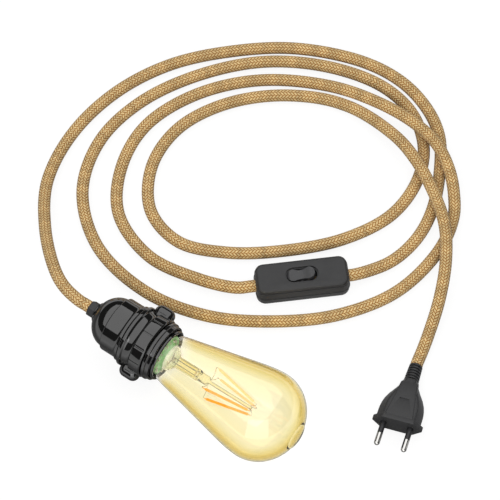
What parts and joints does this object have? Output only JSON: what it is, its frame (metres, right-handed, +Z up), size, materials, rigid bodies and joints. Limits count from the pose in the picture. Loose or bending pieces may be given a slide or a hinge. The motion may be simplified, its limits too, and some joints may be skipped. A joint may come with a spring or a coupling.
{
  "type": "pendant lamp cord",
  "caption": "Plug-in pendant cord: threaded lamp holder with a filament bulb, braided cord, inline rocker switch and flat round-pin plug.",
  "frame": {"origin": "on the surface that the object lies on, under the middle of the holder and its bulb", "axes": "+X along the lamp's axis, from the cord grip to the end of the bulb; +Y towards the coiled cord; +Z up"},
  "size_m": [0.3377, 0.3216, 0.064],
  "materials": {
    "phenolic": "glossy black moulded phenolic",
    "grip": "matte dark grey",
    "steatite": "white pressed ceramic",
    "brass": "plain brass strip",
    "nickel_plate": "bright nickel plate",
    "black_glass": "glossy black glass",
    "amber_glass": "thin clear amber glass",
    "clear_glass": "clear glass",
    "green_board": "green circuit board",
    "filament_phosphor": "orange phosphor coat",
    "wire_insulation": "plain insulation",
    "textile_braid": "golden woven braid",
    "matte_case": "matte dark grey moulding",
    "sleeve_plastic": "black sleeve"
  },
  "bodies": {
    "body": {"holder_dome": "phenolic", "holder_skirt": "phenolic", "shade_ring": "phenolic", "lock_ring": "phenolic", "cord_grip": "grip", "terminal_block": "steatite", "screw_shell": "brass", "terminal_live": "brass", "terminal_neutral": "brass", "centre_contact": "brass", "fixed_contact_left": "brass", "fixed_contact_right": "brass", "bulb_cap": "nickel_plate", "cap_contact": "nickel_plate", "terminal_screw_live": "nickel_plate", "terminal_screw_neutral": "nickel_plate", "switch_screw_1": "nickel_plate", "switch_screw_2": "nickel_plate", "cord_clamp_left": "nickel_plate", "cord_clamp_right": "nickel_plate", "plug_pin_left": "nickel_plate", "plug_pin_right": "nickel_plate", "lead_wire_1": "nickel_plate", "lead_wire_2": "nickel_plate", "lead_wire_3": "nickel_plate", "lead_wire_4": "nickel_plate", "crown_wire_1": "nickel_plate", "crown_wire_2": "nickel_plate", "crown_wire_3": "nickel_plate", "crown_wire_4": "nickel_plate", "cap_insulator": "black_glass", "bulb_glass": "amber_glass", "stem_glass": "clear_glass", "driver_board": "green_board", "filament_1": "filament_phosphor", "filament_2": "filament_phosphor", "filament_3": "filament_phosphor", "filament_4": "filament_phosphor", "conductor_live": "wire_insulation", "conductor_neutral": "wire_insulation", "switch_lead_left": "wire_insulation", "switch_lead_right": "wire_insulation", "through_conductor": "wire_insulation", "lamp_cord": "textile_braid", "plug_cord": "textile_braid", "switch_base": "matte_case", "switch_cover": "matte_case", "plug_body": "matte_case", "pin_sleeve_left": "sleeve_plastic", "pin_sleeve_right": "sleeve_plastic"},
    "rocker": {"rocker": "matte_case", "contact_bar": "brass"}
  },
  "joints": [
    {"name": "rocker_hinge", "type": "hinge", "parent": "body", "child": "rocker", "pos_m": [0.012, 0.1112, 0.0118], "axis": [-0.673, 0.7396, 0], "range_deg": [0, 20]}
  ]
}
